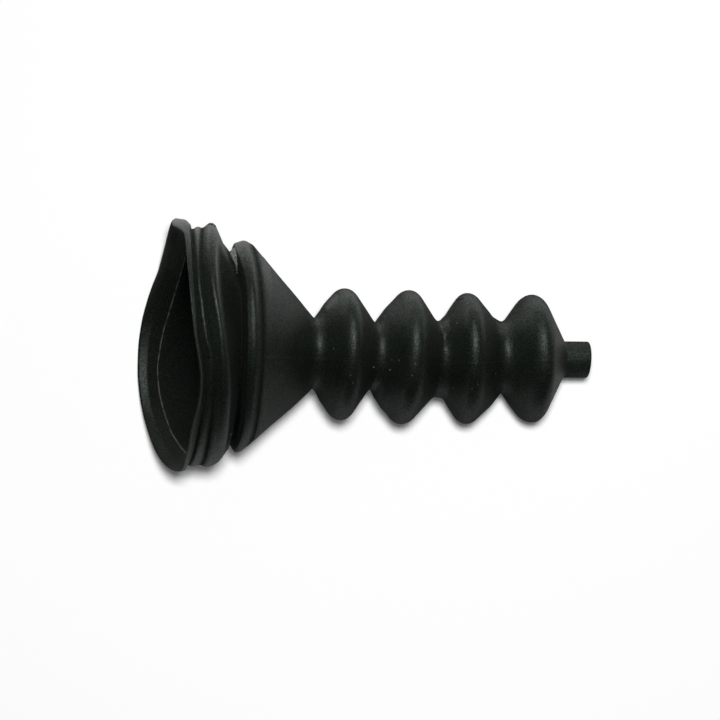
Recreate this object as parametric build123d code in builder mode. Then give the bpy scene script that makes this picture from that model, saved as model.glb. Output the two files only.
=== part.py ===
from build123d import *
import os
from math import cos, pi, radians, sin, tan

os.makedirs("parts", exist_ok=True)

# Rubber bellows boot, lying on its side. Lengths are in mm. Places along the boot are measured
# on its centre line from the crest of the collar, + toward the nozzle.

# resting pose: the boot lies on its collar and on its last fold
rest_angle = 9.45
flat_depth = 0.2

# wall of the cone and of the folds
wall = 1.6

# mouth, and the throat inside the groove
mouth_radius = 24.7
mouth_depth = 0.4
throat_start = 4.2

# collar, with a low ridge in front of it
collar_radius = 28.3
collar_front = -4.7
collar_crown = 1.6
collar_edge = 1.0
collar_back = 3.1
neck_height = 0.9
ridge_height = 2.5
ridge_place = -3.0
ridge_width = 1.4
crease_place = -2.2
crease_depth = 0.3

# panel groove behind the collar
groove_start = 3.7
groove_end = 5.1
groove_radius = 19.7
groove_mouth_height = 2.9

# rim behind the groove
rim_radius = 24.5
rim_place = 7.8
rim_front = 2.3
rim_crown = 1.2
rim_back = 1.8
rim_edge = 0.8

# cone from the rim to the first fold
cone_start = 12.0
cone_start_radius = 21.2

# folds: the valleys and crests in turn, from the cone to the nozzle
valley_places = [24.9, 39.35, 54.5, 69.2]
valley_flats = [0.8, 0.8, 2.4, 1.6]
crest_places = [31.95, 46.6, 61.3, 77.0]
valley_radius = 8.5
crest_radius = 15.45
crest_rounding = 3.0
flank_angle = radians(54)

# nozzle
nozzle_radius = 4.28
nozzle_bore_radius = 2.7
nozzle_start = 84.4
nozzle_end = 90.4
nozzle_edge = 0.4
bore_edge = 0.3

# front lip: a thin soft flange whose edge waves round the mouth
lip_sections = 30
lip_root = 1.1
lip_height = 4.4
lip_flare_loss = 0.9
lip_side_gain = 0.8
lip_thickness = 1.1
lip_reach = 6.6
lip_sway = 1.3
lip_hollow = 0.5
flap_angle = 165.0
flap_width = 92.0
flap_reach = 6.5
fold_back_angle = 22.0
fold_back_width = 46.0
fold_back_reach = 3.5
mouth_edge_reach = 4.9
mouth_edge_flap = 4.0
mouth_edge_width = 70.0

# radii that follow from the sizes above
neck_radius = mouth_radius + neck_height
ridge_radius = mouth_radius + ridge_height
groove_mouth_radius = groove_radius + groove_mouth_height
throat_radius = groove_radius - wall
lip_radius = mouth_radius + lip_height

# centre line: falls from the mouth to the nozzle
fall = radians(rest_angle)
along = Vector(cos(fall), 0, -sin(fall))
ring_centre = Vector(0, 0, collar_radius * cos(fall) - flat_depth)
centre_line = Axis(ring_centre, along)

# wall sections are drawn on this plane: x along the centre line, y away from it
section_plane = Plane(origin=ring_centre, x_dir=along, z_dir=(0, -1, 0))


def turned_plane(angle):
    # the section plane turned round the centre line, from the upper side toward -Y
    facing = Vector(0, -1, 0).rotate(Axis((0, 0, 0), along), angle)
    return Plane(origin=ring_centre, x_dir=along, z_dir=facing)


def swell(angle, middle, half_width):
    # smooth bump round the mouth, 1 in its middle and 0 from half_width on
    away = abs((angle - middle + 180) % 360 - 180)
    return cos(pi / 2 * min(away / half_width, 1)) ** 2


# folds: sharp crests first, a flat in every valley, one wall thickness between out and in
crest_peak = crest_radius + crest_rounding * (1 / cos(flank_angle) - 1)
wall_gain = wall / cos(flank_angle)
inner_crest = crest_radius - wall
inner_valley = valley_radius - wall
outer_folds = []
inner_folds = []
for valley, flat, crest in zip(valley_places, valley_flats, crest_places):
    inner_flat = flat / 2 + (inner_valley - valley_radius + wall_gain) / tan(flank_angle)
    inner_top = (crest_peak - wall_gain - inner_crest) / tan(flank_angle)
    outer_folds += [(valley - flat / 2, valley_radius), (valley + flat / 2, valley_radius), (crest, crest_peak)]
    inner_folds += [(valley - inner_flat, inner_valley), (valley + inner_flat, inner_valley)]
    inner_folds += [(crest - inner_top, inner_crest), (crest + inner_top, inner_crest)]

# where the inside of the cone leaves the throat
cone_slope = (cone_start_radius - valley_radius) / (valley_places[0] - cone_start)
throat_end = cone_start + (cone_start_radius - throat_radius) / cone_slope - wall * (1 + cone_slope ** -2) ** 0.5

# lip: wall sections set round the mouth and joined in a closed ring
lip_walls = []
for i in range(lip_sections):
    angle = 360 / lip_sections * i
    flap = swell(angle, flap_angle, flap_width)
    fold_back = swell(angle, fold_back_angle, fold_back_width)
    reach = lip_reach - lip_sway * sin(radians(angle)) + flap_reach * flap - fold_back_reach * fold_back
    edge_radius = lip_radius - lip_flare_loss * flap + lip_side_gain * sin(radians(angle)) ** 2
    mouth_edge = mouth_edge_reach + mouth_edge_flap * swell(angle, flap_angle, mouth_edge_width)
    with BuildSketch(turned_plane(angle)) as lip_wall:
        with BuildLine():
            Polyline(
                (collar_front + lip_root, mouth_radius + neck_height * 0.4),
                (collar_front + lip_root, mouth_radius + neck_height * 0.7),
                (lip_thickness - reach, edge_radius - lip_thickness / 2),
                (lip_thickness / 2 - reach, edge_radius),
                (-reach, edge_radius - lip_thickness / 2),
                (lip_hollow - mouth_edge * 0.6 - reach * 0.4, mouth_radius * 0.6 + edge_radius * 0.4),
                (-mouth_edge, mouth_radius + neck_height * 0.1),
                close=True,
            )
        make_face()
    lip_walls.append(lip_wall.sketch.faces()[0])
with BuildPart() as lip:
    loft(sections=lip_walls + lip_walls[:1], ruled=True)

# the boot in one piece: its whole wall section turned round the centre line
with BuildPart() as boot:
    with BuildSketch(section_plane) as wall_section:
        with BuildLine():
            Polyline(
                (collar_front, mouth_radius),
                (collar_front, neck_radius),
                (ridge_place - ridge_width / 2, ridge_radius - crease_depth),
                (ridge_place, ridge_radius),
                (crease_place, ridge_radius - crease_depth),
                (-collar_crown, collar_radius - collar_edge / 2),
                (-collar_crown / 2, collar_radius),
                (0, collar_radius),
                (collar_crown / 2, collar_radius - collar_edge),
                (collar_back, groove_mouth_radius),
                (groove_start, groove_radius),
                (groove_end, groove_radius),
                (rim_place - rim_front, groove_mouth_radius),
                (rim_place - rim_crown, rim_radius - rim_edge),
                (rim_place - rim_crown / 2, rim_radius),
                (rim_place + rim_crown / 2, rim_radius),
                (rim_place + rim_back, rim_radius - rim_edge),
                (cone_start, cone_start_radius),
                *outer_folds,
                (nozzle_start, nozzle_radius),
                (nozzle_end - nozzle_edge, nozzle_radius),
                (nozzle_end, nozzle_radius - nozzle_edge),
                (nozzle_end, nozzle_bore_radius + bore_edge),
                (nozzle_end - bore_edge, nozzle_bore_radius),
                (nozzle_start - wall / 2, nozzle_bore_radius),
                *reversed(inner_folds),
                (throat_end, throat_radius),
                (throat_start, throat_radius),
                (mouth_depth, mouth_radius),
                close=True,
            )
        make_face()
        peaks = wall_section.vertices().filter_by(lambda corner: abs(corner.Y - crest_peak) < wall / 10)
        chamfer(peaks, length=crest_rounding * (tan(flank_angle) - tan(flank_angle / 2)))
        shoulders = wall_section.vertices().filter_by(lambda corner: abs(corner.Y - crest_radius) < wall / 3)
        chamfer(shoulders, length=crest_rounding * (tan(flank_angle / 2) - tan(flank_angle / 4)))
    revolve(axis=centre_line)
    add(lip.part)
    table = 8 * collar_radius
    with Locations((0, 0, -table / 2)):
        Box(table, table, table, mode=Mode.SUBTRACT)

# the frame stands under the middle of the boot
box = boot.part.bounding_box()
with BuildPart() as bellows_boot:
    with Locations((-box.center().X, -box.center().Y, 0)):
        add(boot.part)
bellows_boot.part.label = "bellows_boot"
export_step(bellows_boot.part, "parts/bellows_boot.step")
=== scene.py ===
import bpy
import bmesh
import math
import numpy as np
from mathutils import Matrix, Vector


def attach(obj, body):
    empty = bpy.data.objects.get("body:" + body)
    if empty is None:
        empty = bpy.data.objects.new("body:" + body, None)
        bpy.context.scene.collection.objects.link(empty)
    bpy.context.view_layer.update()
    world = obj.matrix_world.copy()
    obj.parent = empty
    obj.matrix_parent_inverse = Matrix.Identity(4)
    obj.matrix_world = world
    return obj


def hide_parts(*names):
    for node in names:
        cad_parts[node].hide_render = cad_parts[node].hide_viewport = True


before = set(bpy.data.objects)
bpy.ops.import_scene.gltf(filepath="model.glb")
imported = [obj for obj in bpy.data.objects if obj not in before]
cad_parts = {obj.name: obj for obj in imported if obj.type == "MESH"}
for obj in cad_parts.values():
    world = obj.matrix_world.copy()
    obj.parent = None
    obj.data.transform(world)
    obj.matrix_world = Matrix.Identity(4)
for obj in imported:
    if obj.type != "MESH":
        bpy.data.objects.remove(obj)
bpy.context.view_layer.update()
print("frame loaded")

mm = 0.001

# where the boot lies: its centre line starts in the collar and falls toward the nozzle
pose = {
    "fallAngle": 9.45,           # degrees
    "ringX": -36.362,            # centre of the collar crest, mm
    "ringY": -0.016,
    "ringZ": 27.716,
}

# angles go round the centre line: 0 is the upper side, 90 is +Y, 180 is the table side
# places run along the centre line from the collar crest, + toward the nozzle, in mm
head = {
    "lipEdge": {-81: -4.4, -67: -4.6, -53: -4.75, -44: -4.85, -36: -4.6, -29: -4.2, -22: -4.05, -16: -4.15,
                -10: -4.6, -4: -5.25, 1: -5.85, 7: -6.4, 13: -6.8, 19: -7.15, 25: -7.4, 32: -7.6, 39: -7.85,
                52: -7.85, 60: -7.9, 65: -9.0, 69: -10.4, 74: -10.4, 80: -9.7, 86: -9.0, 92: -8.7,
                100: -8.9, 120: -8.8, 142: -9.4, 151: -10.4, 160: -11.4, 171: -12.3, 183: -12.7, 195: -12.6,
                206: -12.1, 217: -11.3, 228: -10.3, 240: -9.1, 251: -7.8, 262: -6.4, 271: -5.3},
    "lipEdgeRadius": {-90: 29.6, -75: 29.3, -45: 28.9, 0: 28.8, 60: 28.8, 85: 28.8, 95: 28.8, 135: 28.6,
                      180: 28.3, 225: 28.5, 255: 29.4},
    "lipThickness": {-90: 0.7, -45: 0.45, -10: 0.45, 0: 0.5, 12: 0.7, 40: 0.9, 60: 1.1, 65: 1.8, 70: 2.8,
                     78: 2.3, 90: 1.3, 100: 1.4, 120: 1.4, 180: 1.4, 240: 1.0},
    "neckRadius": {-90: 27.7, -60: 27.4, -40: 27.0, -20: 26.8, 0: 26.4, 40: 26.2, 90: 26.3, 180: 26.2,
                   250: 27.4},
    "mouthEdge": {-80: -3.4, -60: -3.8, -45: -3.95, -28: -3.35, -18: -3.25, -8: -3.95, 0: -4.75, 10: -5.7,
                  20: -6.2, 35: -6.6, 50: -6.6, 75: -5.6, 100: -4.4, 125: -4.1, 140: -4.5, 149: -5.05,
                  157: -5.66, 165: -6.32, 172: -7.04, 179: -7.56, 186: -7.9, 193: -8.2, 201: -8.0, 208: -7.7,
                  216: -7.08, 225: -6.27, 236: -5.34, 250: -3.96, 264: -3.3},
    "ridge": {-90: -2.1, -70: -2.05, -46: -2.0, -37: -1.8, -30: -1.55, -23: -1.43, -17: -1.5, -10: -1.75,
              -4: -2.2, 2: -3.2, 8: -3.8, 14: -4.3, 20: -4.6, 27: -5.05, 34: -5.2, 41: -5.3, 50: -5.3,
              70: -4.7, 90: -3.5, 140: -2.6, 180: -2.4, 230: -2.1},
    "ridgeRadius": {-90: 28.4, -60: 28.0, -30: 27.5, 0: 27.4, 60: 27.5, 90: 27.3, 180: 27.4, 240: 28.2},
    "crease": {-90: 0.3, -70: 0.15, -57: -0.1, -47: -0.3, -38: -0.4, -31: -0.55, -23: -0.55, -17: -0.8,
               -10: -1.05, -4: -1.55, 2: -2.2, 8: -2.65, 14: -3.15, 21: -3.65, 27: -4.05, 35: -4.25,
               43: -4.45, 52: -4.2, 69: -3.4, 90: -2.2, 125: -1.2, 180: -0.8, 235: 0.0},
    "creaseRadius": {-90: 27.7, -60: 27.2, -30: 26.9, 0: 26.6, 40: 26.5, 60: 26.6, 90: 26.8, 180: 26.9,
                     240: 27.4},
    "crown": {-90: 1.2, -60: 1.3, -45: 1.4, -30: 1.3, -15: 0.9, 0: 0.15, 13: -0.85, 21: -1.6, 31: -2.25,
              45: -2.5, 60: -1.9, 75: -1.0, 90: -0.5, 140: 0.3, 180: 0.6, 240: 1.1},
    "shoulder": {-90: 3.2, -64: 3.9, -55: 3.75, -45: 3.6, -37: 3.3, -29: 3.1, -23: 2.9, -16: 2.45,
                 -10: 1.95, 0: 1.0, 15: -0.3, 30: -1.2, 40: -1.3, 51: -0.9, 60: -0.4, 75: 0.1, 90: 0.5,
                 140: 1.4, 180: 1.9, 240: 2.6},
    "shoulderRadius": {-90: 27.5, -20: 27.65, 10: 27.95, 90: 27.95, 180: 27.9, 240: 27.6},
    "backFlank": {-90: 6.2, -71: 5.8, -53: 5.2, -44: 5.0, -30: 4.6, -21: 4.3, -13: 4.0, 0: 3.75, 15: 3.5,
                  30: 3.4, 50: 3.2, 61: 2.6, 74: 2.4, 90: 2.3, 180: 3.0, 235: 5.0},
    "backFlankRadius": {-90: 24.0, -15: 23.9, 10: 23.4, 60: 23.2, 75: 23.6, 90: 24.0, 180: 24.0},
    "groove": {-90: 7.1, -71: 6.9, -52: 6.7, -30: 6.2, 0: 5.8, 25: 5.55, 45: 5.1, 60: 4.2, 70: 3.7, 90: 4.4,
               180: 4.8, 235: 6.3},
    "grooveRadius": {-90: 19.7, 55: 19.7, 70: 21.3, 82: 21.8, 95: 20.0, 180: 19.7},
    "rimFace": {-90: 7.9, -75: 7.8, -60: 7.8, -50: 7.7, -30: 7.1, 0: 6.5, 15: 6.25, 40: 5.9, 55: 5.2,
                69: 4.6, 80: 4.7, 90: 5.9, 180: 6.6, 235: 7.4},
    "rimBackRadius": {-90: 23.0, 0: 22.9, 60: 23.0, 80: 23.7, 100: 23.6, 180: 23.0},
    "coneRadius": {-90: 21.65, -45: 21.35, 0: 21.25, 60: 21.2, 85: 21.0, 180: 21.25},
    "rim": {-90: 8.6, -75: 8.9, -60: 9.1, -45: 9.0, -30: 8.75, -15: 8.6, 0: 8.5, 12: 8.25, 32: 7.9, 50: 7.6,
            70: 7.4, 90: 7.8, 180: 8.2, 235: 8.6},
}

# mouth and throat, mm
mouth = {
    "throatStart": 4.2,
    "throatEnd": 12.8,
    "throatRadius": 18.1,
    "floorPlace": 0.4,
    "wallRadius": 24.7,
    "wallEnd": 0.9,              # from the mouth edge back to the straight wall
    "edgeRadius": 25.15,
    "edgeDrop": 0.08,
    "footStep": 0.3,
    "footHollow": 0.45,
}

# face of the lip: shares go from the mouth edge to the free edge, heights stand off it toward the front, mm
lip = {
    "hollowShare": 0.55,
    "hollowDepth": 0.55,
    "beadShare": 0.9,
    "beadHeight": 0.36,
    "rearDrop": 0.15,
    "leastOpen": 0.1,
    "openFrom": -0.5,            # the face is plain up to this width and full from the next one on
    "openTo": 3.5,
}

# corners from the lip to the cone: the curve that gives the place and what is added to it, then the curve
# that gives the radius and what is added to that, mm
collar = {
    "neck": ("ridge", -0.95, "neckRadius", 0.0),
    "ridge": ("ridge", 0.0, "ridgeRadius", 0.0),
    "crease": ("crease", 0.0, "creaseRadius", 0.0),
    "crown": ("crown", 0.0, None, 28.35),
    "shoulder": ("shoulder", 0.0, "shoulderRadius", 0.0),
    "backFlank": ("backFlank", 0.0, "backFlankRadius", 0.0),
    "grooveLeft": ("groove", -0.55, "grooveRadius", 0.7),
    "grooveRoot": ("groove", -0.1, "grooveRadius", 0.0),
    "grooveRight": ("groove", 0.35, "grooveRadius", 0.7),
    "rimFoot": ("rimFace", -0.3, None, 22.9),
    "rimFace": ("rimFace", 0.0, None, 23.9),
    "rim": ("rim", -0.3, None, 24.75),
    "rimBack": ("rim", 1.8, "rimBackRadius", 0.0),
    "coneStart": (None, 12.0, "coneRadius", 0.0),
}

# how round each corner is, apart from the folds, whose rounding stands in their own table, mm
roundings = {
    "throatFront": 0.6, "mouthFloor": 0.6, "mouthWall": 0.3, "mouthCrest": 0.1, "mouthFoot": 0.1,
    "lipHollow": 0.9, "lipBead": 0.5, "lipFront": 1.2, "lipRear": 0.25,
    "neck": 0.8, "ridge": 1.1, "crease": 0.8, "crown": 0.9, "shoulder": 0.6, "backFlank": 0.8,
    "grooveLeft": 0.5, "grooveRoot": 0.3, "grooveRight": 0.4,
    "rimFoot": 0.3, "rimFace": 0.4, "rim": 1.2, "rimBack": 0.8, "coneStart": 2.0,
    "nozzleFoot": 0.3, "nozzleTip": 0.45, "boreTip": 0.3, "boreFoot": 0.3, "throatBack": 0.6,
}

# each fold: place, radius, lean in degrees about the vertical, forward shift of the upper side,
# shift along Y, and rounding
folds = {
    "foot1": (24.9, 8.45, 2.8, 0.45, -0.55, 2.6),
    "crest1": (31.95, 15.45, -0.5, 0.45, -0.55, 2.9),
    "foot2": (39.35, 8.5, 1.7, 0.45, -0.8, 2.6),
    "crest2": (46.6, 15.45, 0.8, 0.2, -0.45, 3.1),
    "foot3": (54.5, 8.95, 2.9, -0.2, -0.8, 2.2),
    "crest3": (61.3, 15.4, -1.8, -0.45, 0.0, 2.9),
    "foot4": (69.6, 8.5, -5.0, 0.7, 0.55, 2.6),
    "crest4": (77.0, 15.45, -2.1, 0.6, 0.8, 3.5),
}

# how the valleys change at the +Y side and the -Y side: how sharp, then how far the flank before and the
# flank after come closer, mm
sides = {
    "foot1": ((0.87, 0.65, 0.85), (0.75, 1.2, 0.65)),
    "foot2": ((0.96, 0.3, 0.85), (0.69, -0.1, 1.2)),
    "foot3": ((0.15, -0.2, 0.45), (-0.2, 0.1, 0.1)),
    "foot4": ((0.0, 0.5, 0.0), (0.9, 1.0, 0.5)),
}

valley = {
    "halfFloor": 0.8,            # the middle that takes both flanks' change, mm
    "fullTo": 2.0,               # from here on the change fades out, mm
    "fade": 2.2,
    "coneFade": 7.0,
    "sideways": 5,               # higher keeps the change nearer to the sides
}

# a pinch in the third valley, a dent with a small fold above it: place, angle, half widths, height, mm
pinch = {
    "fold": (55.1, 60.0, 0.45, 12.0, 0.3),
    "dent": (54.6, 30.0, 0.9, 11.0, -0.55),
}

tube = {
    "wall": 1.6,
    "footThinning": 0.5,
    "flankAngle": 54.0,
    "lastPeak": 0.62,            # how far the last crest's corner stands out, as a share of its rounding
    "nozzleStart": 84.4,
    "nozzleEnd": 90.4,
    "nozzleRadius": 4.28,
    "nozzleBore": 2.7,
    "boreFoot": 0.8,
    "startShift": 0.95,
    "endShift": 1.2,
}

# the thin line where the mould halves meet: places along the boot and across it, mm
partingLine = [(-3, -2.7), (5.5, -2.26), (10.2, -2.13), (16.7, -1.86), (23.8, -1.53), (32.1, -1.51),
               (39.5, -1.52), (46.3, -1.8), (54.7, -1.43), (60.5, -1.05), (67.6, -0.72), (74.5, -0.47),
               (84.1, -0.07), (90.4, 0.25)]

skin = {
    "turns": 240,          # steps round the centre line
    "drawnAt": 130.0,      # angle at which the section is drawn, where the lip is well open
    "fine": 1.0,           # longest step along the outside, mm
    "coarse": 3.0,         # longest step along the inside, mm
    "arcStep": 11.0,       # degrees between the points of a rounded corner
    "mostCut": 0.48,       # share of an edge that a rounded corner may use up
    "easing": 0.45,        # how softly one corner's move passes into the next, mm
}

steep = math.tan(math.radians(tube["flankAngle"]))
flankCos = math.cos(math.radians(tube["flankAngle"]))
flankSin = math.sin(math.radians(tube["flankAngle"]))


def aroundCurve(places, angles):
    # a closed smooth curve through the places, without overshoot between them
    known = sorted((angle % 360.0, value) for angle, value in places.items())
    at = np.array([angle for angle, value in known])
    value = np.array([value for angle, value in known])
    gap = (np.roll(at, -1) - at) % 360.0
    gapBefore = np.roll(gap, 1)
    rise = (np.roll(value, -1) - value) / gap
    riseBefore = np.roll(rise, 1)
    weightBefore = 2 * gap + gapBefore
    weightAfter = gap + 2 * gapBefore
    same = riseBefore * rise > 0
    slope = np.where(same, (weightBefore + weightAfter) / (weightBefore / np.where(same, riseBefore, 1)
                                                           + weightAfter / np.where(same, rise, 1)), 0)
    angles = np.asarray(angles, dtype=float) % 360.0
    start = (np.searchsorted(at, angles, side="right") - 1) % len(at)
    end = (start + 1) % len(at)
    span = gap[start]
    t = ((angles - at[start]) % 360.0) / span
    return ((2 * t**3 - 3 * t**2 + 1) * value[start] + (t**3 - 2 * t**2 + t) * span * slope[start]
            + (3 * t**2 - 2 * t**3) * value[end] + (t**3 - t**2) * span * slope[end])


def addMouth(add, curves):
    # from the throat round the lip to its back
    edge, edgeRadius, start = curves["lipEdge"], curves["lipEdgeRadius"], curves["mouthEdge"]
    startRadius = mouth["edgeRadius"]
    length = np.hypot(edge - start, edgeRadius - startRadius)
    forward = (edge - start) / length
    outward = (edgeRadius - startRadius) / length

    def addOnFace(name, share, lift):
        add(name, start + share * length * forward - lift * outward,
            startRadius + share * length * outward + lift * forward)

    # the face is full and hollowed where the lip is open, and plain where it is folded back
    openWidth = start - edge - lip["openFrom"]
    full = np.clip(openWidth / (lip["openTo"] - lip["openFrom"]), lip["leastOpen"], 1.0)
    add("throatFront", mouth["throatStart"], mouth["throatRadius"])
    add("mouthFloor", mouth["floorPlace"], mouth["wallRadius"])
    add("mouthWall", start + mouth["wallEnd"], mouth["wallRadius"])
    add("mouthCrest", start, startRadius - mouth["edgeDrop"])
    add("mouthFoot", start + mouth["footStep"] - mouth["footHollow"] * full, startRadius + mouth["footStep"])
    addOnFace("lipHollow", lip["hollowShare"], -lip["hollowDepth"] * full)
    addOnFace("lipBead", lip["beadShare"], lip["beadHeight"] * full)
    addOnFace("lipFront", 1.0, 0.0)
    add("lipRear", edge + curves["lipThickness"] / outward, edgeRadius - lip["rearDrop"])


def addFolds(add, angles, inside):
    # the crests and valleys in turn: the outside goes toward the nozzle, the inside comes back from it
    sideways = np.sin(np.radians(angles))
    upright = np.cos(np.radians(angles))
    for name in reversed(folds) if inside else folds:
        place, radius, lean, forward, shift, rounding = folds[name]
        isFoot = name.startswith("foot")
        if inside:
            peak = radius - tube["wall"] - (tube["footThinning"] if isFoot else 0.0)
        elif name == "crest4":
            peak = radius + tube["lastPeak"] * rounding
        else:
            peak = radius + (-1 if isFoot else 1) * rounding * (1 / flankCos - 1)
        place = place + peak * sideways * math.tan(math.radians(lean)) + forward * upright
        if inside:
            add(name + "Inside", place, peak, shift, 0.0)
        else:
            add(name, place, peak, shift, rounding)


def cornersAt(angles):
    # every corner of the wall section: name, place and radius at the given angles, rounding, shift along Y
    angles = np.atleast_1d(np.asarray(angles, dtype=float))
    level = np.zeros_like(angles)
    curves = {name: aroundCurve(places, angles) for name, places in head.items()}
    curves[None] = level             # for what stays the same all round
    corners = []

    def add(name, place, radius, shift=0.0, rounding=None):
        rounding = roundings[name] if rounding is None else rounding
        corners.append((name, level + place, level + radius, rounding, shift))

    addMouth(add, curves)
    for name, (placeCurve, placeMore, radiusCurve, radiusMore) in collar.items():
        add(name, curves[placeCurve] + placeMore, curves[radiusCurve] + radiusMore)
    addFolds(add, angles, False)
    add("nozzleFoot", tube["nozzleStart"], tube["nozzleRadius"], tube["startShift"])
    add("nozzleTip", tube["nozzleEnd"], tube["nozzleRadius"], tube["endShift"])
    add("boreTip", tube["nozzleEnd"], tube["nozzleBore"], tube["endShift"])
    add("boreFoot", tube["nozzleStart"] - tube["boreFoot"], tube["nozzleBore"], tube["startShift"])
    addFolds(add, angles, True)
    add("throatBack", mouth["throatEnd"], mouth["throatRadius"])
    return corners


def makeSection():
    # one closed wall section, its corners rounded one by one
    corners = cornersAt(skin["drawnAt"])
    section = bmesh.new()
    mark = section.verts.layers.int.new("mark")
    spots = [Vector((float(corner[1][0]), 0, float(corner[2][0]))) for corner in corners]
    points = [section.verts.new(spot) for spot in spots]
    for k, point in enumerate(points):
        point[mark] = k + 1
    for start, end in zip(points, points[1:] + points[:1]):
        section.edges.new((start, end))
    for k, corner in enumerate(corners):
        rounding = corner[3]
        if rounding == 0:
            continue
        before = spots[k - 1] - spots[k]
        after = spots[(k + 1) % len(spots)] - spots[k]
        bend = math.pi - before.angle(after)
        reach = min(rounding * math.tan(bend / 2), skin["mostCut"] * min(before.length, after.length))
        point = next(v for v in section.verts if v[mark] == k + 1)
        bmesh.ops.bevel(section, geom=[point], offset=reach, offset_type="OFFSET",
                        segments=max(2, round(math.degrees(bend) / skin["arcStep"])), profile=0.5,
                        affect="VERTICES", clamp_overlap=False, material=-1)
    insideCorners = ["throatBack", "throatFront", "mouthFloor", "boreFoot"]
    insideCorners += [name + "Inside" for name in folds]
    for edge in list(section.edges):
        hidden = any(corners[v[mark] - 1][0] in insideCorners for v in edge.verts)
        cuts = math.ceil(edge.calc_length() / skin["coarse" if hidden else "fine"]) - 1
        if cuts > 0:
            bmesh.ops.subdivide_edges(section, edges=[edge], cuts=cuts)
    return section, corners, spots


def inOrder(section, spots):
    # the section's points one after another, from the first corner toward the second
    first = min(section.verts, key=lambda v: (v.co - spots[0]).length)
    ways = []
    for edge in first.link_edges:
        way = [first, edge.other_vert(first)]
        while way[-1] is not first:
            here = way[-1]
            way.append(next(e.other_vert(here) for e in here.link_edges if e.other_vert(here) is not way[-2]))
        ways.append(way[:-1])
    return min(ways, key=lambda way: min(range(len(way)), key=lambda k: (way[k].co - spots[1]).length))


section, corners, spots = makeSection()
number = section.verts.layers.int.new("order")
way = inOrder(section, spots)
for k, point in enumerate(way):
    point[number] = k
plain = np.array([(v.co.x, v.co.z) for v in way])
steps = np.hypot(*(np.roll(plain, -1, axis=0) - plain).T)
station = np.concatenate([[0], np.cumsum(steps)[:-1]])
around = float(steps.sum())
names = [corner[0] for corner in corners]
print("wall section:", len(way), "points,", round(around, 1), "mm round")

# how far each corner moves at each angle, passed on to the points between the corners
turns = skin["turns"]
angles = np.arange(turns) * 360.0 / turns
moved = cornersAt(angles)
known = np.array([station[min(range(len(way)), key=lambda k: (way[k].co - spot).length)] for spot in spots])
known[0] = 0.0
cornerAt = dict(zip(names, known))
order = {name: int(np.argmin(np.abs(station - at))) for name, at in cornerAt.items()}
gaps = np.abs(station[:, None] - station[None, :])
gaps = np.minimum(gaps, around - gaps)
weights = np.exp(-gaps**2 / (2 * skin["easing"]**2)) * ((steps + np.roll(steps, 1)) / 2)[None, :]
weights /= weights.sum(axis=1, keepdims=True)


def spread(values):
    # from one value a corner to one value a point, eased along the section
    columns = np.atleast_2d(values.T)
    full = np.array([np.interp(station, known, column, period=around) for column in columns]).T
    return weights @ full


def swell(away, halfWidth):
    # smooth bump, 1 in its middle
    return np.exp(-(away / halfWidth)**2)


def valleyChange(name, sharp, before, after):
    # how far the points of one valley move out where its floor is sharper and its flanks are closer
    rounding = folds[name][5]
    offMiddle = plain[:, 0] - corners[names.index(name)][1][0]
    away = np.abs(offMiddle)
    arc = rounding / flankCos - np.sqrt(np.maximum(rounding**2 - away**2, 0)) - steep * away
    arc = np.where(away < rounding * flankSin, arc, 0)
    fadeWidth = np.where((offMiddle < 0) & (name == "foot1"), valley["coneFade"], valley["fade"])
    fade = swell(np.maximum(away - valley["fullTo"], 0), fadeWidth)
    share = away / valley["halfFloor"]
    closer = steep * np.where(offMiddle < 0, before, after) * np.minimum(share, 1) * fade
    floorMove = steep * (before + after) / 2 * np.maximum(1 - share, 0)
    k = names.index(name)
    return ((station > known[k - 1]) & (station < known[k + 1])) * (closer + floorMove - sharp * arc)


alongMove = spread(np.array([new[1] - old[1] for new, old in zip(moved, corners)]))
outMove = spread(np.array([new[2] - old[2] for new, old in zip(moved, corners)]))
sideMove = spread(np.array([[corner[4]] for corner in corners]))[:, 0]
for name, ways in sides.items():
    for sign, change in zip((1, -1), ways):
        weight = np.maximum(sign * np.sin(np.radians(angles)), 0)**valley["sideways"]
        outMove += np.outer(valleyChange(name, *change), weight)

inThirdValley = ((station > cornerAt["crest2"]) & (station < cornerAt["crest3"]))[:, None]
for place, angle, halfLength, halfAngle, rise in pinch.values():
    roundAway = (angles - angle + 180) % 360 - 180
    pinched = swell(plain[:, :1] + alongMove - place, halfLength) * swell(roundAway, halfAngle)[None, :]
    outMove += inThirdValley * rise * pinched

bmesh.ops.spin(section, geom=list(section.verts) + list(section.edges), cent=(0, 0, 0), axis=(1, 0, 0),
               angle=2 * math.pi, steps=turns, use_merge=True, use_duplicate=False)
bmesh.ops.recalc_face_normals(section, faces=list(section.faces))
for face in section.faces:
    face.smooth = True
bootMesh = bpy.data.meshes.new("bellowsBoot")
section.to_mesh(bootMesh)
print("boot:", len(section.verts), "points,", len(section.faces), "faces")
section.free()

# every point goes from the plain turned shape to its place on the resting boot
count = len(bootMesh.vertices)
turned = np.empty(count * 3)
bootMesh.vertices.foreach_get("co", turned)
turned = turned.reshape(-1, 3)
row = np.empty(count, dtype=np.int32)
bootMesh.attributes["order"].data.foreach_get("value", row)
turn = np.arctan2(turned[:, 1], turned[:, 2])
sideways = np.sin(turn)
upright = np.cos(turn)
column = np.rint(turn / (2 * math.pi) * turns).astype(int) % turns
along = plain[row, 0] + alongMove[row, column]
outward = plain[row, 1] + outMove[row, column]
fall = math.radians(pose["fallAngle"])
placed = np.stack([
    pose["ringX"] + along * math.cos(fall) + outward * upright * math.sin(fall),
    pose["ringY"] + outward * sideways + sideMove[row],
    pose["ringZ"] - along * math.sin(fall) + outward * upright * math.cos(fall),
], axis=1)
placed[:, 2] = np.maximum(placed[:, 2], 0.0)
bootMesh.vertices.foreach_set("co", (placed * mm).ravel())
bootMesh.update()

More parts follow.
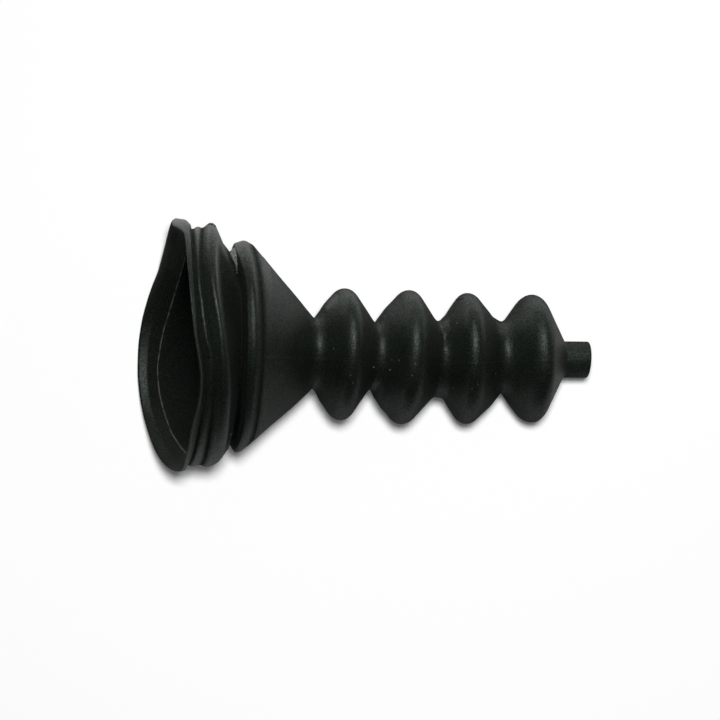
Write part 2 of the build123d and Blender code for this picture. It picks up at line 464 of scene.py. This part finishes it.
# where the surface is marked and where light and shade are painted on it: angles in degrees, sines and
# cosines of them, and lengths in mm
wearAndLight = {
    "flashStart": (108, 120),        # the raised line round the mouth, painted pale as a highlight, fades in and out between these angles
    "flashEnd": (288, 273),
    "noParting": 9.0,                # stands for far from the parting line
    "dustSheenFar": (0.55, 0.95),         # paler flecks on the +Y side, and half as much on the -Y side: dust, plus painted sheen toward the limbs
    "dustSheenNear": (0.6, 1.4),
    "dustSheenUp": (-0.35, 0.15),
    "crevices": {"neck": 0.55, "crease": 0.5, "grooveRoot": 1.1, "rimBack": 1.0},
    "shadeStart": (0.4, 1.2),        # past the shoulder
    "shadeEnd": (0.0, -0.8),         # before the rim
    "shadeTurn": ((-70, -50), (62, 50)),
    # painted highlights on the lip's lower edge and on the collar's shoulder
    "lipEdgeHighlight": (0.75, -25, 42),
    "shoulderHighlight": (0.4, -48, 22, 0.8),
    "paleTip": (-91, 13, -6.0, 2.2),
    # painted light on the lip's face: a lit patch at its tip and a painted highlight along its bead
    "lipTipLight": (97, 14, 0.6),
    "lipBeadHighlight": (128, 22, 3, 0.8),
}


def keep(name, values):
    # one number a point, for the material to read
    layer = bootMesh.attributes.new(name, "FLOAT", "POINT")
    layer.data.foreach_set("value", np.asarray(values, dtype=np.float32))


def between(values, ends):
    # 0 at the first end, 1 from the second on
    return np.clip((values - ends[0]) / (ends[1] - ends[0]), 0, 1)


degrees = np.degrees(turn)
fullDegrees = degrees % 360
stop = station[row]
outside = (row > order["mouthCrest"]) & (row < order["boreTip"])
at = {name: station[place] for name, place in order.items()}

keep("flashAway", stop - at["mouthCrest"])
keep("flashShare", between(fullDegrees, wearAndLight["flashStart"]) * between(fullDegrees, wearAndLight["flashEnd"]))

linePlaces, lineAcross = np.array(partingLine).T
partingAway = outward * sideways - np.interp(along, linePlaces, lineAcross)
keep("partingAway", np.where((upright > 0) & outside, partingAway, wearAndLight["noParting"]))
keep("along", along)

# paler flecks toward the limbs: dust, plus painted sheen
dustAndSheen = np.where(sideways > 0, between(sideways, wearAndLight["dustSheenFar"]), between(-sideways, wearAndLight["dustSheenNear"]))
keep("dustAndSheenSide", dustAndSheen * between(upright, wearAndLight["dustSheenUp"]) * outside)
keep("insideMask", np.where(outside, 0.0, 1.0))

deepIn = sum(swell(stop - at[name], halfWidth) for name, halfWidth in wearAndLight["crevices"].items())
shade = between(stop - at["shoulder"], wearAndLight["shadeStart"]) * between(stop - at["rimFoot"], wearAndLight["shadeEnd"])
for ends in wearAndLight["shadeTurn"]:
    shade = shade * between(degrees, ends)
keep("creviceMask", np.clip(deepIn + shade, 0, 1) * outside)

# painted highlights along the lip's lower free edge and along the shoulder on the -Y side
halfWidth, angle, halfAngle = wearAndLight["lipEdgeHighlight"]
paintedEdgeLight = swell(stop - (at["lipFront"] + at["lipRear"]) / 2, halfWidth) * swell(degrees - angle, halfAngle)
halfWidth, angle, halfAngle, strength = wearAndLight["shoulderHighlight"]
paintedEdgeLight = paintedEdgeLight + strength * swell(stop - at["shoulder"], halfWidth) * swell(degrees - angle, halfAngle)
keep("edgeHighlightMask", paintedEdgeLight * outside)

angle, halfAngle, place, halfWidth = wearAndLight["paleTip"]
keep("paleMask", swell(degrees - angle, halfAngle) * swell(along - place, halfWidth) * outside)

# painted light on the lip: a lit patch at the tip and a painted highlight along the bead toward the free edge
faceShare = between(stop, (at["mouthFoot"], at["lipFront"])) * (row <= order["lipRear"]) * outside
angle, halfAngle, power = wearAndLight["lipTipLight"]
paintedLipLightShare = swell(degrees - angle, halfAngle) * faceShare**power
angle, halfAngle, power, strength = wearAndLight["lipBeadHighlight"]
paintedLipLightShare = paintedLipLightShare + strength * swell(degrees - angle, halfAngle) * faceShare**power
keep("lipLightMask", np.clip(paintedLipLightShare, 0, 1))

boot = bpy.data.objects.new("mouldedBoot", bootMesh)
bpy.context.scene.collection.objects.link(boot)
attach(boot, "root")
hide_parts("bellows_boot")
print("boot placed and marked")

# rubber: lengths in the material are in mm, amounts are shares
look = {
    "deep": (0.0062, 0.01, 0.007),
    "worn": (0.0145, 0.02, 0.0155),
    "bloomAndHighlight": (0.10, 0.115, 0.105),
    "whiteSpeckAndLight": (0.85, 0.85, 0.78),
    "paleAndHighlight": (0.2, 0.215, 0.195),
    "stain": (0.003, 0.003, 0.004),
    "dustAmount": 0.35,
    "fleckAmount": (0.09, 0.5),          # plain side, side with dust and painted sheen
    "paleAmount": 0.42,
    "flashHighlightAmount": 0.9,
    "edgeHighlightAmount": 0.8,
    "partingAmount": 0.1,
    "speckAmount": 0.17,
    "brightSpeckAmount": 0.6,
    "dustAndSheenStreakAmount": 0.7,
    "roughness": 0.44,
    "dullRoughness": 0.5,                # added in the creases, the stains and the inside
    "nozzleRoughness": 0.14,
    "gloss": (0.5, 0.08),                # in the open, in the creases
    "glossGrain": (0.45, 1.6),
    "insideHidden": 0.4,
    "tint": (0.87, 1.0, 0.91),
    "sheen": 0.02,
    "sheenRoughness": 0.4,
    "grain": 0.4,                        # size of the fine grain
    "grainHeight": 0.075,
    "speck": 0.42,                       # size of the dust specks
    "fleck": 0.3,                        # size of the fine pale flecks
    "wave": 3.2,                         # size of the soft unevenness
    "waveHeight": 0.05,
    "broad": 13.0,                       # size of the patches
    "partingHeight": 0.035,
    "grooveLitPatchHeight": 0.5,
    "speckHeight": 0.05,
    "stainDepth": 0.12,
    "markedFrom": (16.0, 18.0),          # height above the table from which small marks show
}

# small marks seen from above: place along and across the frame and radius, mm
marks = {
    "brightSpecks": [(2.63, -3.16, 0.17), (6.42, -3.6, 0.15)],
    "specks": [(6.68, -1.28, 0.15), (8.34, -1.27, 0.2), (-6.76, 0.63, 0.17), (-2.56, -5.27, 0.17),
               (-1.93, -7.0, 0.15), (4.15, -6.64, 0.15), (12.15, -1.75, 0.17), (11.48, -4.61, 0.15),
               (21.29, 7.98, 0.17), (31.52, 6.6, 0.15), (30.88, -3.17, 0.15), (26.75, -5.85, 0.15),
               (21.22, -7.01, 0.15), (25.48, -6.98, 0.15), (38.14, -7.89, 0.17), (-43.12, 15.55, 0.2),
               (-29.05, -20.14, 0.25)],
    # a pale streak on the first crest's upper flank: dust and a painted highlight
    "dustAndSheen": [(-7.3, 11.9, 1.2), (-8.0, 11.1, 1.2), (-8.7, 10.2, 0.9), (-6.9, 12.6, 0.9)],
    # a pale patch on the rim's left flank in the groove: painted light
    "grooveLitPatch": [(-31.1, 21.8, 0.75), (-30.9, 21.2, 0.75), (-30.64, 20.6, 0.7), (-30.5, 20.1, 0.6),
               (-30.33, 19.66, 0.5), (-30.15, 19.2, 0.45), (-30.02, 18.74, 0.4), (-29.93, 18.3, 0.32),
               (-29.85, 17.83, 0.26), (-29.75, 17.3, 0.2), (-29.66, 16.7, 0.17)],
    "stains": [(-35.09, -2.8, 0.3), (-34.52, -2.99, 0.35), (-33.95, -2.85, 0.25), (-33.4, -3.05, 0.25),
               (-28.19, -1.08, 0.35), (-27.53, -1.95, 0.25), (-27.78, -3.54, 0.3), (-27.13, -5.55, 0.4),
               (-27.51, -7.61, 0.25), (-27.78, -8.99, 0.35), (-27.16, -10.55, 0.3), (-27.58, -11.95, 0.25),
               (-38.33, 26.62, 0.2), (-38.1, 25.95, 0.25), (-36.94, 27.77, 0.4), (-36.15, 27.61, 0.35),
               (-35.39, 27.26, 0.3), (48.3, -0.04, 0.14), (48.7, -0.02, 0.14), (49.1, 0.0, 0.14)],
    "cracks": [(21.27, 13.26, 0.15), (21.5, 13.38, 0.17), (21.75, 13.52, 0.15), (22.0, 13.62, 0.17),
               (22.3, 13.74, 0.14), (22.56, 13.84, 0.13)],
}

rubber = bpy.data.materials.new("satinRubber")
rubber.use_nodes = True
tree = rubber.node_tree          # the helpers below add their nodes to the tree in hand
shader = tree.nodes["Principled BSDF"]


def feed(socket, value):
    # a link where the value is a socket, a plain number or colour otherwise
    if isinstance(value, bpy.types.NodeSocket):
        tree.links.new(value, socket)
    else:
        socket.default_value = value


def calc(operation, first, second=0.0):
    made = tree.nodes.new("ShaderNodeMath")
    made.operation = operation
    feed(made.inputs[0], first)
    feed(made.inputs[1], second)
    return made.outputs[0]


def times(first, second):
    return calc("MULTIPLY", first, second)


def plus(first, second):
    return calc("ADD", first, second)


def most(first, second):
    return calc("MAXIMUM", first, second)


def ranged(value, low, high, toLow=0.0, toHigh=1.0):
    made = tree.nodes.new("ShaderNodeMapRange")
    for name, setting in (("Value", value), ("From Min", low), ("From Max", high), ("To Min", toLow),
                          ("To Max", toHigh)):
        feed(made.inputs[name], setting)
    return made.outputs["Result"]


def attribute(name):
    made = tree.nodes.new("ShaderNodeAttribute")
    made.attribute_name = name
    return made.outputs["Fac"]


def noiseOf(size, detail=2.0, rough=0.5, seat=0.0):
    # noise with features of about the given size
    place = tree.nodes.new("ShaderNodeVectorMath")
    place.operation = "MULTIPLY_ADD"
    feed(place.inputs[0], inMillimetres)
    place.inputs[1].default_value = (1 / size, 1 / size, 1 / size)
    place.inputs[2].default_value = (seat, seat, seat)
    made = tree.nodes.new("ShaderNodeTexNoise")
    feed(made.inputs["Vector"], place.outputs[0])
    made.inputs["Scale"].default_value = 1.0
    made.inputs["Detail"].default_value = detail
    made.inputs["Roughness"].default_value = rough
    return made.outputs["Fac"]


def blend(amount, first, second):
    made = tree.nodes.new("ShaderNodeMix")
    made.data_type = "RGBA"
    feed(made.inputs[0], amount)
    for socket, value in ((made.inputs[6], first), (made.inputs[7], second)):
        feed(socket, value if isinstance(value, bpy.types.NodeSocket) else (*value, 1))
    return made.outputs[2]


def dots(places, core=0.6):
    # round spots seen from above, each with its centre and radius
    total = None
    for x, y, radius in places:
        gap = tree.nodes.new("ShaderNodeVectorMath")
        gap.operation = "DISTANCE"
        feed(gap.inputs[0], flatPlace)
        gap.inputs[1].default_value = (x, y, 0)
        one = ranged(gap.outputs["Value"], radius * core, radius * 1.1, 1.0, 0.0)
        total = one if total is None else most(total, one)
    return times(total, outsideOnly)


bigger = tree.nodes.new("ShaderNodeVectorMath")
bigger.operation = "SCALE"
feed(bigger.inputs[0], tree.nodes.new("ShaderNodeTexCoord").outputs["Object"])
bigger.inputs["Scale"].default_value = 1000.0
inMillimetres = bigger.outputs[0]
flattened = tree.nodes.new("ShaderNodeVectorMath")
flattened.operation = "MULTIPLY"
feed(flattened.inputs[0], inMillimetres)
flattened.inputs[1].default_value = (1, 1, 0)
flatPlace = flattened.outputs[0]
apart = tree.nodes.new("ShaderNodeSeparateXYZ")
feed(apart.inputs[0], inMillimetres)

grain = noiseOf(look["grain"], 3.0, 0.65)
speck = noiseOf(look["speck"], 1.0, 0.5, seat=7.0)
fine = noiseOf(look["fleck"], 1.0, 0.5, seat=21.0)
wave = noiseOf(look["wave"], 2.0, 0.5, seat=3.0)
broad = noiseOf(look["broad"], 2.0, 0.5, seat=11.0)
inside = attribute("insideMask")
crevice = attribute("creviceMask")
outsideOnly = times(calc("SUBTRACT", 1.0, inside), ranged(apart.outputs["Z"], *look["markedFrom"]))
# painted highlights on the lip's edge and the shoulder
edgeHighlight = times(attribute("edgeHighlightMask"), ranged(grain, 0.3, 0.6, 0.6, 1.0))
pale = times(attribute("paleMask"), ranged(grain, 0.3, 0.6, 0.45, 1.0))
# painted light on the lip's tip and bead
paintedLipLight = times(attribute("lipLightMask"), ranged(grain, 0.3, 0.6, 0.6, 1.0))

# thin line of the mould's edge round the mouth, painted pale as a painted highlight on the edge
flashAway = plus(attribute("flashAway"), ranged(wave, 0, 1, -0.09, 0.09))
flashHighlight = times(ranged(calc("ABSOLUTE", flashAway), 0.1, 0.24, 1.0, 0.0),
              ranged(noiseOf(1.6, 2.0, 0.6, seat=5.0), 0.36, 0.52, 0.25, 1.0))
flashHighlight = times(flashHighlight, attribute("flashShare"))

# line where the mould halves meet, stronger in places
partingAway = plus(attribute("partingAway"), ranged(noiseOf(4.0, 2.0, 0.6, seat=2.0), 0, 1, -0.22, 0.22))
parted = times(ranged(calc("ABSOLUTE", partingAway), 0.05, 0.16, 1.0, 0.0),
               ranged(attribute("along"), 8.0, 10.0))
parted = times(parted, ranged(noiseOf(2.4, 2.0, 0.6, seat=9.0), 0.38, 0.6, 0.15, 1.0))

# small marks: bright specks, a pale streak of dust with a painted highlight, a painted lit patch in the
# groove, dark stains and a crack
specks = dots(marks["specks"])
brightSpecks = dots(marks["brightSpecks"])
# pale streak: dust and a painted highlight
dustAndSheenStreak = times(dots(marks["dustAndSheen"], 0.2), ranged(grain, 0.35, 0.6, 0.2, 1.0))
# painted light: the pale patch in the groove
grooveLitPatch = times(dots(marks["grooveLitPatch"]), ranged(speck, 0.4, 0.6, 0.55, 1.0))
stains = times(dots(marks["stains"]), ranged(grain, 0.35, 0.55))
darkMarks = most(stains, dots(marks["cracks"]))

# colour: deep where plain, paler where rubbed and where dust lies, with painted sheen toward the limbs,
# painted light on the lip and painted highlights on the mouth's edge, the lip's edge and the shoulder, then
# the marks
rubbed = ranged(plus(times(broad, 0.6), times(grain, 0.5)), 0.4, 0.75)
dust = times(ranged(speck, 0.66, 0.78), ranged(broad, 0.42, 0.62, 0.15, 0.8))
dust = times(dust, calc("SUBTRACT", 1.0, inside))
# flecks: fine grain, plus painted sheen toward the limbs
flecks = times(ranged(fine, 0.5, 0.68), ranged(attribute("dustAndSheenSide"), 0, 1, *look["fleckAmount"]))
colour = blend(rubbed, look["deep"], look["worn"])
for amount, tone in (
    (times(dust, look["dustAmount"]), "bloomAndHighlight"),
    (flecks, "bloomAndHighlight"),
    (times(pale, look["paleAmount"]), "bloomAndHighlight"),
    (paintedLipLight, "paleAndHighlight"),
    (times(flashHighlight, look["flashHighlightAmount"]), "paleAndHighlight"),
    (times(edgeHighlight, look["edgeHighlightAmount"]), "bloomAndHighlight"),
    (times(parted, look["partingAmount"]), "bloomAndHighlight"),
    (times(specks, look["speckAmount"]), "whiteSpeckAndLight"),
    (times(brightSpecks, look["brightSpeckAmount"]), "whiteSpeckAndLight"),
    (times(dustAndSheenStreak, look["dustAndSheenStreakAmount"]), "paleAndHighlight"),
    (grooveLitPatch, "whiteSpeckAndLight"),
    (darkMarks, "stain"),
):
    colour = blend(amount, colour, look[tone])
feed(shader.inputs["Base Color"], colour)

# roughness and gloss: dull and dark in the creases, the stains and the inside
rough = plus(ranged(broad, 0.3, 0.7, look["roughness"] - 0.04, look["roughness"] + 0.06),
             ranged(grain, 0.3, 0.7, -0.06, 0.08))
dull = most(inside, most(crevice, darkMarks))
rough = plus(rough, times(dull, look["dullRoughness"]))
rough = plus(rough, ranged(attribute("along"), 84.4, 85.2, 0.0, look["nozzleRoughness"]))
feed(shader.inputs["Roughness"], rough)
hidden = most(times(inside, look["insideHidden"]), most(crevice, darkMarks))
gloss = times(ranged(hidden, 0, 1, *look["gloss"]), ranged(fine, 0.32, 0.68, *look["glossGrain"]))
feed(shader.inputs["Specular IOR Level"], gloss)
shader.inputs["Specular Tint"].default_value = (*look["tint"], 1)
shader.inputs["Sheen Weight"].default_value = look["sheen"]
shader.inputs["Sheen Roughness"].default_value = look["sheenRoughness"]

# relief: soft unevenness, fine grain and the raised lines
height = plus(times(wave, look["waveHeight"]), times(grain, look["grainHeight"]))
height = plus(height, times(parted, look["partingHeight"]))
height = plus(height, times(grooveLitPatch, times(speck, look["grooveLitPatchHeight"])))
height = plus(height, times(specks, look["speckHeight"]))
height = calc("SUBTRACT", height, times(darkMarks, look["stainDepth"]))
relief = tree.nodes.new("ShaderNodeBump")
relief.inputs["Strength"].default_value = 1.0
relief.inputs["Distance"].default_value = mm
feed(relief.inputs["Height"], height)
feed(shader.inputs["Normal"], relief.outputs[0])
boot.data.materials.append(rubber)
print("rubber made")

# floor, light and camera, in metres
stage = {
    "size": 3.0,
    "paper": 0.8,                    # how pale the floor is to the camera
    "paperUnder": 0.06,              # and to the boot, under it, on the -Y side and on the +Y side: painted shade under the boot and painted light beyond it, seen in its reflections
    "paperNear": 0.5,
    "paperFar": 1.0,
    "paperBeyond": 0.4,
    "paperRight": 0.42,
    "paperRightBeyond": 0.3,
    "nearEdge": (-0.022, -0.07),
    "farEdge": (0.027, 0.044),
    "beyondEdge": (0.07, 0.2),
    "rightEdge": (0.052, 0.058),
    "rightBeyondEdge": (0.075, 0.1),
    "whiteAdded": 0.1,
    "fill": 0.03,
    "lampTilt": 33.0,                # degrees from straight up, toward +Y
    "lampDistance": 1.0,
    "lampSize": 0.42,
    "lampPower": 5.0,
    "floorLampPlace": (0.02, 0.075, 1.0),
    "floorLampSize": 0.1,
    "floorLampPower": 11.0,
    "cameraPlace": (-0.000602, -0.001666, 0.9175),
    "cameraTurn": 3.0,               # degrees
    "focalLength": 3852.7,           # in pixels of a render this wide
    "renderWidth": 720,
    "clipStart": 0.01,
}
bpy.ops.mesh.primitive_plane_add(size=stage["size"], location=(0, 0, 0))
floor = bpy.context.object
floor.name = "floor"
paper = bpy.data.materials.new("paper")
paper.use_nodes = True
tree = paper.node_tree
matte = tree.nodes["Principled BSDF"]
matte.inputs["Roughness"].default_value = 1.0
matte.inputs["Specular IOR Level"].default_value = 0.0
cameraRay = tree.nodes.new("ShaderNodeLightPath").outputs["Is Camera Ray"]
spot = tree.nodes.new("ShaderNodeSeparateXYZ")
feed(spot.inputs[0], tree.nodes.new("ShaderNodeNewGeometry").outputs["Position"])
# the floor's colour to the boot is painted: dark under it as painted shade, paler bands to the sides and the
# right as painted light for its reflections
farSide = times(ranged(spot.outputs["Y"], *stage["farEdge"], stage["paperUnder"], stage["paperFar"]),
                ranged(spot.outputs["Y"], *stage["beyondEdge"], 1.0, stage["paperBeyond"]))
rightSide = times(ranged(spot.outputs["X"], *stage["rightEdge"], stage["paperUnder"], stage["paperRight"]),
                  ranged(spot.outputs["X"], *stage["rightBeyondEdge"], 1.0, stage["paperRightBeyond"]))
nearSide = ranged(spot.outputs["Y"], *stage["nearEdge"], stage["paperUnder"], stage["paperNear"])
toBoot = most(most(farSide, nearSide), rightSide)
feed(matte.inputs["Base Color"], ranged(cameraRay, 0.0, 1.0, toBoot, stage["paper"]))
matte.inputs["Emission Color"].default_value = (1, 1, 1, 1)
feed(matte.inputs["Emission Strength"], times(cameraRay, stage["whiteAdded"]))
floor.data.materials.append(paper)

world = bpy.data.worlds.new("studio")
bpy.context.scene.world = world
world.use_nodes = True
world.node_tree.nodes["Background"].inputs["Color"].default_value = (1, 1, 1, 1)
world.node_tree.nodes["Background"].inputs["Strength"].default_value = stage["fill"]


def softLamp(name, place, size, power, lit):
    # a square lamp aimed at the origin that lights one thing only
    lamp = bpy.data.lights.new(name, "AREA")
    lamp.size = size
    lamp.energy = power
    holder = bpy.data.objects.new(name, lamp)
    holder.location = place
    holder.rotation_euler = Vector(place).to_track_quat("Z", "Y").to_euler()
    bpy.context.scene.collection.objects.link(holder)
    only = bpy.data.collections.new(name + "Only")
    only.objects.link(lit)
    holder.light_linking.receiver_collection = only


tilt = math.radians(stage["lampTilt"])
lampPlace = (0.0, stage["lampDistance"] * math.sin(tilt), stage["lampDistance"] * math.cos(tilt))
softLamp("softbox", lampPlace, stage["lampSize"], stage["lampPower"], boot)
softLamp("floorLamp", stage["floorLampPlace"], stage["floorLampSize"], stage["floorLampPower"], floor)

view = bpy.data.cameras.new("camera")
view.angle = 2 * math.atan(stage["renderWidth"] / 2 / stage["focalLength"])
view.clip_start = stage["clipStart"]
camera = bpy.data.objects.new("camera", view)
camera.location = stage["cameraPlace"]
camera.rotation_euler = (0, 0, math.radians(stage["cameraTurn"]))
bpy.context.scene.collection.objects.link(camera)
bpy.context.scene.camera = camera
bpy.context.scene.view_settings.view_transform = "Standard"
print("floor, lamps and camera set")
